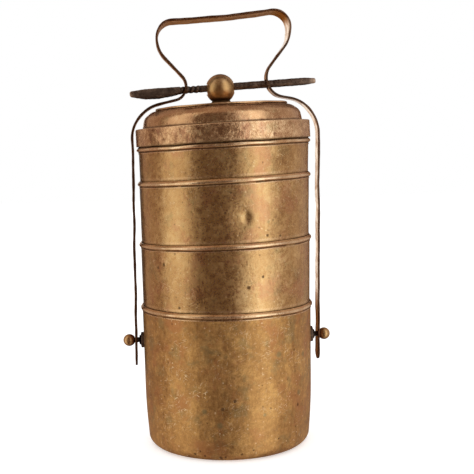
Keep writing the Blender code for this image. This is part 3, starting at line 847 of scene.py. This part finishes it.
# the strap's middle line in x and z, and the radius of each bend
STRAP_CORNERS = (
    (-ARM_X, 61, 0),
    (-69, 258, 26),
    (-17.6, 269.8, 10.5),
    (-46.1, 304.4, 21),
    (-45.5, 324, 12),
    (8, 325.5, 300),
    (56.8, 329.5, 13.2),
    (53.3, 304.9, 16.8),
    (24.6, 269.8, 14.3),
    (73.3, 256.8, 27),
    (ARM_X, 61, 0),
)
NECKS_X = (-27.0, 37.0)
STRAP_THICKNESS = 1.7
ARM_HALF_WIDTH = 6.5
GRIP_HALF_WIDTH = 12.5
PIN_HOLE = 2.3  # radius of the pivot pins' holes


def rounded_bar_ring(half_width, half_depth, corner):
    """Points round a rounded rectangle, starting on its right side."""
    points = []
    across = 8
    arcs = 4
    wide = half_width - corner
    for quarter, (sign_x, sign_z) in enumerate(((1, 1), (-1, 1), (-1, -1), (1, -1))):
        for step in range(arcs + 1):
            angle = math.pi / 2 * (quarter + step / arcs)
            points.append((sign_x * wide + corner * math.cos(angle),
                           sign_z * (half_depth - corner) + corner * math.sin(angle)))
        if quarter in (0, 2):
            x, z = points[-1]
            points += [(x - sign_x * 2 * wide * step / across, z) for step in range(1, across)]
    return points


def strap_stations():
    """Points along the strap, closer together at its rounded ends."""
    path = dense(rounded(STRAP_CORNERS, math.radians(4)), 2.0)
    body = [point for point in path if point[1] >= STRAP_LOW.z + ARM_HALF_WIDTH]
    rises = [ARM_HALF_WIDTH * (1 - math.cos(math.pi / 2 * step / 10)) for step in range(10)]
    left = [(-ARM_X, STRAP_LOW.z + max(rise, 0.04)) for rise in rises]
    right = [(ARM_X, z) for _, z in reversed(left)]
    return np.array(left + body + right)


def summed_sines(run, lengths, phases):
    return sum(np.sin(run * TAU / length + phase) for length, phase in zip(lengths, phases))


def make_strap_look(material):
    path = strap_stations()
    run = np.concatenate(([0.0], np.cumsum(np.linalg.norm(np.diff(path, axis=0), axis=1))))
    tangent = np.gradient(path, run, axis=0)
    tangent /= np.linalg.norm(tangent, axis=1)[:, None]
    normal = np.stack((-tangent[:, 1], tangent[:, 0]), axis=1)
    phases = np.random.RandomState(5).uniform(0, TAU, 12)
    sway = summed_sines(run, (97.0, 61.0, 43.0, 29.0), phases) * 0.10
    thick = 1 + summed_sines(run, (53.0, 31.0, 17.0, 9.0), phases[4:]) * 0.045
    ripple = 0.12 * summed_sines(run, (37.0,), phases[9:])
    edge_wave = 0.08 * summed_sines(run, (11.0,), phases[10:])
    widening = smooth(290.0, 317.0, path[:, 1])
    end_z = STRAP_LOW.z + ARM_HALF_WIDTH
    co = []
    places = []
    for index, (x, z) in enumerate(path):
        half = ARM_HALF_WIDTH + (GRIP_HALF_WIDTH - ARM_HALF_WIDTH) * widening[index]
        if z < end_z:
            half = math.sqrt(max(ARM_HALF_WIDTH ** 2 - (end_z - z) ** 2, 0.36))
        half += ripple[index]
        centre = path[index] + normal[index] * sway[index] * smooth(66.0, 90.0, z)
        ring = rounded_bar_ring(half, STRAP_THICKNESS / 2 * thick[index], min(0.55, half * 0.9))
        for across, out in ring:
            crown = 0.25 * (1 - (across / half) ** 2)
            spot = centre + normal[index] * (out + crown * (1.0 if out > 0 else 0.6))
            co.append((spot[0], across + edge_wave[index], spot[1]))
            places.append((x, z, half - abs(across), out))
    faces = tube_faces(len(path), len(ring))
    obj = finish_mesh("handle_strap", np.array(co), faces, "handle", material, 35.0)
    x, z, inset, out = np.array(places).T
    edge = smooth(1.1, 0.1, inset)
    # a painted bright reflection on the inner face of the right arm and shoulder, less metallic and
    # smoother; darker edges below the grip and a darker stretch from 250 to 285 mm
    top_end = np.where(z > 296.0, smooth(324.0, 317.0, z) * smooth(44.0, 50.0, x),
                       smooth(288.0, 254.0, z))
    dull = 0.30 * smooth(250.0, 262.0, z) * smooth(285.0, 272.0, z)
    paint(obj, wear=0.10 * edge, grime=dull + 0.45 * edge * smooth(318.0, 302.0, z),
          pale=0.95 * ((out < 0) & (x > 0)) * smooth(96.0, 120.0, z) * top_end)
    for neck_x in NECKS_X:
        hole_z = BAR_Z + neck_x * (BAR_SLOPE - TILT)
        cut_box(obj, (neck_x - 7.4, -3.7, hole_z - 3.7), (neck_x + 7.4, 3.7, hole_z + 3.7), 1.2)
    cut_rod(obj, PIN_HOLE, PIVOT_Z, 2 * ARM_X)
    lean_object(obj)


# Locking bar

LEAF_END_X = -31.5
TWIST_START_X = -29.5
TWIST_END_X = -16.5
SHANK_START_X = -14.0
TIP_START_X = 62.0
TWIST_PITCH = 3.9  # length of one turn of the twist
TWIST_DEPTH = 0.55
TWIST_HALF = 2.8  # half the size of the twisted stretch


def bar_section(x):
    """Half height, half depth, squareness, turn, and how far the section hangs below the line."""
    left, right = BAR_LOW.x, BAR_HIGH.x
    if x <= LEAF_END_X:
        share = (x - left) / (LEAF_END_X - left)
        swell_here = max(math.sin(math.pi * share), 0.0) ** 0.9
        end = 1.9 + 1.1 * share
        height = end + (3.1 - end) * swell_here
        return height, 1.1 + 1.4 * share, 0.35, 0.0, 2.0 * swell_here
    if x <= TWIST_START_X:
        share = smooth(LEAF_END_X, TWIST_START_X, x)
        return 3.0 - 0.2 * share, 2.5 + 0.3 * share, 0.35 - 0.25 * share, 0.0, 0.0
    if x <= SHANK_START_X:
        share = smooth(TWIST_END_X, SHANK_START_X, x)
        size = TWIST_HALF - 0.2 * share
        return size, size, 0.1 + 0.4 * share, 0.0, 0.0
    turned_by = 0.5 * smooth(SHANK_START_X, 10.0, x)
    if x <= TIP_START_X:
        size = 2.6 + 0.1 * smooth(SHANK_START_X, TIP_START_X, x)
        return size, size, 0.5, turned_by, 0.0
    share = (x - TIP_START_X) / (right - TIP_START_X)
    size = 2.7 - 0.85 * share ** 1.6
    if share > 0.94:
        size *= math.sqrt(max(1 - ((share - 0.94) / 0.06) ** 2, 0.02)) * 0.25 + 0.75
    return size, size, 0.5 - 0.3 * share, turned_by, 0.0


def make_bar_look(material):
    left, right = BAR_LOW.x, BAR_HIGH.x
    stations = np.concatenate((np.linspace(left, LEAF_END_X, 60),
                               np.linspace(LEAF_END_X, SHANK_START_X, 80)[1:],
                               np.linspace(SHANK_START_X, right, 110)[1:]))
    ring = 36
    co = []
    places = []
    phases = np.random.RandomState(8).uniform(0, TAU, 8)
    for x in stations:
        height, depth, squareness, turn, hang = bar_section(x)
        power = 1.0 - 0.5 * squareness
        nick = 0.10 * math.sin(x * 1.1 + phases[0]) + 0.07 * math.sin(x * 2.7 + phases[1])
        size = 1 + 0.020 * math.sin(x * 0.61 + phases[2]) + 0.014 * math.sin(x * 1.9 + phases[3])
        if x < left + 1.0:
            size *= math.sqrt(max(1 - (left + 1.0 - x) ** 2, 0.0)) * 0.45 + 0.55
        twisted = smooth(LEAF_END_X, TWIST_START_X, x) * smooth(SHANK_START_X, TWIST_END_X, x)
        for index in range(ring):
            angle = TAU * index / ring
            cosine, sine = math.cos(angle), math.sin(angle)
            across = math.copysign(abs(cosine) ** power, cosine) * depth
            upright = math.copysign(abs(sine) ** power, sine) * height
            y = across * math.cos(turn) - upright * math.sin(turn)
            z = across * math.sin(turn) + upright * math.cos(turn)
            if hang > 0:
                z += (0.25 * nick - hang) * (0.5 - 0.5 * sine)
            crest = 0.5 + 0.5 * math.cos(TAU * x / TWIST_PITCH + angle)
            thread = 1 - twisted * TWIST_DEPTH / TWIST_HALF * (1 - crest ** 0.6)
            co.append((x, y * size * thread, z * size * thread))
            places.append((x, sine, crest, twisted))
    # the bar lies along its own sliding line, through the leaning knob
    tilt = Matrix.Rotation(-math.atan(BAR_SLOPE), 3, "Y")
    laid = np.array(co) @ np.array(tilt).T + np.array((-LEAN_AT_KNOB, 0.0, BAR_Z))
    faces = tube_faces(len(stations), ring)
    obj = finish_mesh("locking_bar", laid, faces, "bar", material, 50.0)
    x, sine, crest, twisted = np.array(places).T
    # lighter twist crests and ends, and a painted highlight along the leaf's upper side; the twist
    # darker, most in its grooves
    ends = smooth(left + 4.0, left, x) + smooth(right - 6.0, right - 0.5, x)
    top = smooth(0.5, 0.95, sine) * smooth(LEAF_END_X + 1, LEAF_END_X - 3, x)
    paint(obj, wear=0.30 * smooth(0.75, 1.0, crest) * twisted + 0.8 * ends + 0.15 * top,
          grime=twisted * (0.35 + 0.6 * smooth(0.75, 0.35, crest)))


# Pivots

def finish_pivot(kind, side, co, faces, material, sharp=40.0):
    node = f"pivot_{kind}_{'left' if side < 0 else 'right'}"
    return finish_mesh(node, face_outwards(co, side), faces, "can", material, sharp)


def make_boss_look(side, material):
    low, high = RIM_RADIUS - 0.9, BOSS_HIGH.x
    outline = rounded((
        (PIN_HOLE, low, 0.0),
        (6.0, low, 0.0),
        (6.1, high - 1.5, 0.6),
        (3.9, high - 1.1, 0.4),
        (3.4, high, 0.4),
        (PIN_HOLE, high, 0.0),
    ))
    co, faces = turned_mesh(dense(outline, 0.8), SMALL_SEGMENTS)
    radius, theta = polar(co)
    co[:, :2] *= (1 + 0.012 * waves(theta, co[:, 2], 81 + side, 6, (2, 9), 9.0))[:, None]
    obj = finish_pivot("boss", side, co, faces, material)
    # lighter outer rim; painted shade towards the middle, under the ball
    paint(obj, wear=0.10 * smooth(5.2, 6.0, radius), grime=0.75 * smooth(6.2, 4.0, radius))


def make_pin_look(side, material):
    outline = rounded((
        (0.0, PIN_LOW.x, 0.0),
        (4.1, PIN_LOW.x + 0.1, 0.5),
        (4.5, PIN_LOW.x + 1.1, 0.2),
        (2.0, PIN_LOW.x + 1.1, 0.0),
        (2.0, PIN_HIGH.x, 0.0),
        (0.0, PIN_HIGH.x, 0.0),
    ))
    co, faces = turned_mesh(dense(outline, 0.8), SMALL_SEGMENTS)
    paint(finish_pivot("pin", side, co, faces, material), grime=0.6)


def make_ball_look(side, material):
    radius = (BALL_HIGH.z - BALL_LOW.z) / 2
    centre = BALL_HIGH.x - radius
    profile = ball_arc(radius, centre, math.acos((BALL_LOW.x - centre) / radius), 26)
    seat = PIN_HIGH.x + 0.3
    profile += [(PIN_HOLE, BALL_LOW.x), (PIN_HOLE, seat), (0.0, seat)]
    co, faces = turned_mesh(profile, SMALL_SEGMENTS)
    away, theta = polar(co)
    z = co[:, 2].copy()
    bumps = waves(theta, z, 91 + side, 8, (2, 6), 6.0) * smooth(0.5, 3.0, away)
    obj = finish_pivot("ball", side, swell(co, theta, 0.05 * bumps), faces, material, 50.0)
    # lighter towards its outer end; painted shade where it meets the boss
    paint(obj, wear=0.3 * smooth(centre, BALL_HIGH.x, z),
          grime=0.8 * smooth(BALL_LOW.x + 1.6, BALL_LOW.x + 0.2, z))


# Stage

CAMERA_DISTANCE = 737.2
CAMERA_Z = 222.5
CAMERA_AZIMUTH = -4.0
LOOK_AT = (9.0, 0.0, 158.6)
CAMERA_ROLL = -1.12
LENS = 72.6


def make_floor():
    bpy.ops.mesh.primitive_plane_add(size=8.0, location=(0.0, 0.0, 0.0))
    floor = bpy.context.object
    floor.name = "floor"
    material, graph, place, _ = seeded_material("floor")
    speck = graph.remap(graph.noise(place, 220.0), 0.35, 0.65)
    colour = graph.mix(speck, (0.86, 0.86, 0.86, 1.0), (0.90, 0.90, 0.90, 1.0))
    diffuse = graph.node("ShaderNodeBsdfDiffuse", {"Color": colour})
    glow = graph.node("ShaderNodeEmission", {"Color": WHITE, "Strength": 0.45})
    both = graph.node("ShaderNodeAddShader", {0: diffuse.outputs[0], 1: glow.outputs[0]})
    graph.node("ShaderNodeOutputMaterial", {"Surface": both.outputs[0]})
    floor.data.materials.append(material)
    floor.visible_glossy = False


# soft boxes round the object: strength, and the azimuths between which each one fades in and out
SOFT_BOXES = (
    (0.98, (-102, -86), (-57, -47)),
    (0.98, (6, 34), (58, 82)),
    (0.60, (26, 38), (50, 62)),
    (0.42, (68, 88), (132, 158)),
    (0.30, (-172, -152), (-116, -92)),
)
ROOM_LEVEL = 0.135  # brightness of the room between them


def make_world():
    """White to the camera; to anything shiny, a dim warm room with upright soft boxes."""
    world = bpy.data.worlds.new("studio")
    bpy.context.scene.world = world
    world.use_nodes = True
    world.cycles.sampling_method = "NONE"
    graph = Graph(world.node_tree)
    direction = graph.node("ShaderNodeTexCoord").outputs["Generated"]
    x, y, z = graph.node("ShaderNodeSeparateXYZ", {0: direction}).outputs
    azimuth = graph.times(graph.math("ARCTAN2", x, graph.times(y, -1.0)), 180 / math.pi)

    foot = graph.remap(z, -0.85, -0.55, 0.55, 1.0)
    full_height = graph.times(foot, graph.remap(z, 0.80, 0.97, 1.0, 0.0))
    level = ROOM_LEVEL
    for strength, fade_in, fade_out in SOFT_BOXES:
        strip = graph.times(graph.remap(azimuth, *fade_in),
                            graph.remap(azimuth, *fade_out, 1.0, 0.0))
        level = graph.plus(level, graph.times(graph.times(strip, full_height), strength))
    level = graph.plus(level, graph.remap(y, 0.945, 0.975))
    level = graph.plus(level, graph.times(graph.remap(z, 0.70, 1.0), 0.30))
    tint = graph.mix(graph.remap(level, 0.15, 0.90), (1.0, 0.63, 0.45, 1.0),
                     (1.0, 0.98, 0.95, 1.0))
    warm_side = graph.remap(azimuth, -20.0, -50.0)
    tint = graph.mix(warm_side, tint, (1.0, 0.94, 0.86, 1.0), "MULTIPLY")
    room = graph.node("ShaderNodeBackground", {"Color": tint, "Strength": level})
    white = graph.node("ShaderNodeBackground", {"Color": WHITE, "Strength": 1.0})
    ray = graph.node("ShaderNodeLightPath")
    shown = graph.node("ShaderNodeMixShader", {0: ray.outputs["Is Glossy Ray"],
                                               1: white.outputs[0], 2: room.outputs[0]})
    graph.node("ShaderNodeOutputWorld", {"Surface": shown.outputs[0]})


def make_camera():
    camera = new_object("camera", bpy.data.cameras.new("camera"))
    camera.data.lens = LENS
    azimuth = math.radians(CAMERA_AZIMUTH)
    place = Vector((math.sin(azimuth) * CAMERA_DISTANCE, -math.cos(azimuth) * CAMERA_DISTANCE,
                    CAMERA_Z)) * MM
    gaze = Vector(LOOK_AT) * MM - place
    camera.location = place
    level = gaze.to_track_quat("-Z", "Y").to_matrix()
    roll = Matrix.Rotation(math.radians(CAMERA_ROLL), 3, "Z")
    camera.rotation_euler = (level @ roll).to_euler()
    camera.data.clip_start = 0.01
    bpy.context.scene.camera = camera


# The object

# marks seen on the walls: azimuth in degrees from the front, height and radius in mm
CAN_MARKS = dict(
    pit=((-8, 40, 2.2), (0, 46, 1.9), (-28, 5.5, 1.5), (-10, 3.5, 2), (4, 6, 1.3), (49, 36, 1.9),
         (-7, 4, 1.4), (-24, 8, 1.1), (-21, 4.5, 1.3), (12, 8.5, 1), (31, 14, 1.2), (-2, 12, 1)),
    green=((-20, 38, 2.8), (-10, 28, 3.4), (50, 45, 3), (31, 77, 3.4), (56, 73, 2.6), (20, 34, 2)),
    scratched=((-38, 42, 13), (-22, 52, 10), (-36, 63, 7), (16, 85, 5)))
make_can_look(aged_brass("can_brass", 1.0, CAN_TONES, rough=0.46, metal=0.84, scratch=1.3,
                         marks=CAN_MARKS))

TIER_MARKS = dict(
    tier_3=dict(pit=((-48, 144.5, 1.8), (-54, 142, 1.5), (10, 127.5, 1.9), (20, 134.5, 1.3),
                     (-36, 113, 1.5)),
                scratched=((-60, 144, 8), (-47, 130, 6))),
    tier_2=dict(pit=((24, 163.5, 1.4), (34, 162.5, 1.4), (0, 195.5, 1.2), (-4, 181.5, 1.3)),
                green=((24.5, 173, 1.8),)),
    tier_1=dict(pit=((-20, 215, 1),)))
LID_MARKS = dict(pit=((-42, 235.5, 1.8), (-29, 235.5, 1.5), (-26, 234, 1.4), (18, 238.5, 1.4),
                      (-8, 239, 1.6)))
# name, rim band, seeds of its tones and of its hammer marks, dents
TIERS = (
    ("tier_3", "tier_3_rim_band", 2, 31, (
        (30, 140, 9, 7, 0.15), (-20, 128, 8, 6, 0.12),
        (160, 135, 9, 8, 0.45))),
    ("tier_2", "tier_2_rim_band", 3, 33, (
        (9.5, 177.5, 3, 4, 0.8), (6.5, 177.5, 7, 8, 0.5),
        (40, 175, 9, 7, 0.15), (-130, 185, 8, 8, 0.5))),
    ("tier_1", "tier_1_stop_band", 4, 35, (
        (25, 222, 8, 5, 0.10), (100, 220, 8, 6, 0.35))),
)
for tier, tier_band, tone_seed, wave_seed, tier_dents in TIERS:
    tier_brass = aged_brass(tier + "_brass", tone_seed, WALL_TONES, rough=0.29, speckle=0.8,
                            mottle=0.8, scratch=1.2, bump=1.3, marks=TIER_MARKS[tier])
    tier_profile, low_z, high_z = tier_outline(tier, tier_band)
    make_vessel(tier, tier, tier_profile, wave_seed, tier_dents, tier_brass, low_z, high_z)

band_brass = aged_brass("band_brass", 6.0, BAND_TONES, rough=0.30, speckle=0.3, scratch=0.4,
                        mottle=0.8, bump=0.7)
for band, band_body, band_seed in (("can_rim_band", "can", 41), ("tier_3_rim_band", "tier_3", 42),
                                   ("tier_2_rim_band", "tier_2", 43)):
    make_band_look(band, band_body, band_seed, band_brass)
make_band_look("tier_1_stop_band", "tier_1", 44, band_brass, under_collar=1.0)

make_lid_look(aged_brass("lid_brass", 7.5, LID_TONES, rough=0.25, speckle=0.9, mottle=1.6,
                         bump=2.4, marks=LID_MARKS))
make_plate_look(aged_brass("plate_brass", 8.5, LID_TONES, rough=0.36, speckle=0.6))
knob_brass = aged_brass("knob_brass", 9.5, KNOB_TONES, rough=0.38, speckle=0.2, scratch=0.4,
                        mottle=0.6, bump=0.5)
make_knob_look(knob_brass)
make_burr_look(knob_brass)

make_strap_look(aged_brass("strap_brass", 12.0, STRAP_TONES, metal=1.0, speckle=0.2, scratch=0.3,
                           mottle=0.4, bump=0.4, edge_tint=(0.74, 0.39, 0.17, 1.0)))
make_bar_look(old_iron("bar_iron", 3.0))
pivot_iron = old_iron("pivot_iron", 5.0, rough=0.5)
ball_brass = aged_brass("ball_brass", 14.0, KNOB_TONES, rough=0.32, speckle=0.2, scratch=0.3,
                        mottle=0.6, bump=0.5)
for pivot_side in (-1, 1):
    make_boss_look(pivot_side, pivot_iron)
    make_pin_look(pivot_side, pivot_iron)
    make_ball_look(pivot_side, ball_brass)

make_floor()
make_world()
make_camera()
bpy.context.scene.view_settings.view_transform = "Standard"
